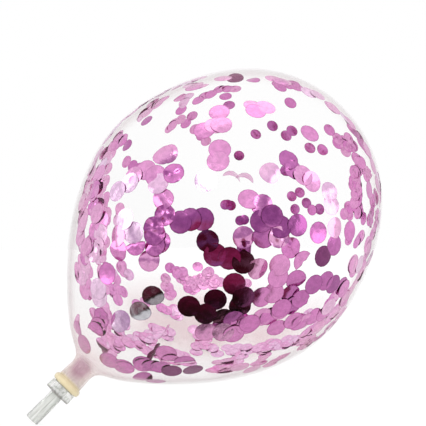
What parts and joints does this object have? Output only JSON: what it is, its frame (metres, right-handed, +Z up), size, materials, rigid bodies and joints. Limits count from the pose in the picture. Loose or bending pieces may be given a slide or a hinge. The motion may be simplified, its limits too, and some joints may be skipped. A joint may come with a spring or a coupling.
{
  "type": "confetti balloon",
  "caption": "Round inflated clear latex balloon with foil confetti sealed inside and a clear plastic neck fitting, lying loose on its belly and the fitting's tip.",
  "frame": {"origin": "centre of the bounding box's base, on the surface it lies on", "axes": "+Z up; the balloon's axis lies in the XZ plane, its crown towards +X and up, its neck towards -X and down"},
  "size_m": [0.3654, 0.3, 0.3205],
  "materials": {
    "clear_latex": "thin clear latex film, glossy, creamier and milkier towards the neck",
    "clear_plastic": "clear moulded plastic, glossy",
    "confetti_foil": "pink and plum mirror foil discs"
  },
  "bodies": {
    "root": {"latex_balloon": "clear_latex", "neck_fitting": "clear_plastic"}
  },
  "joints": []
}
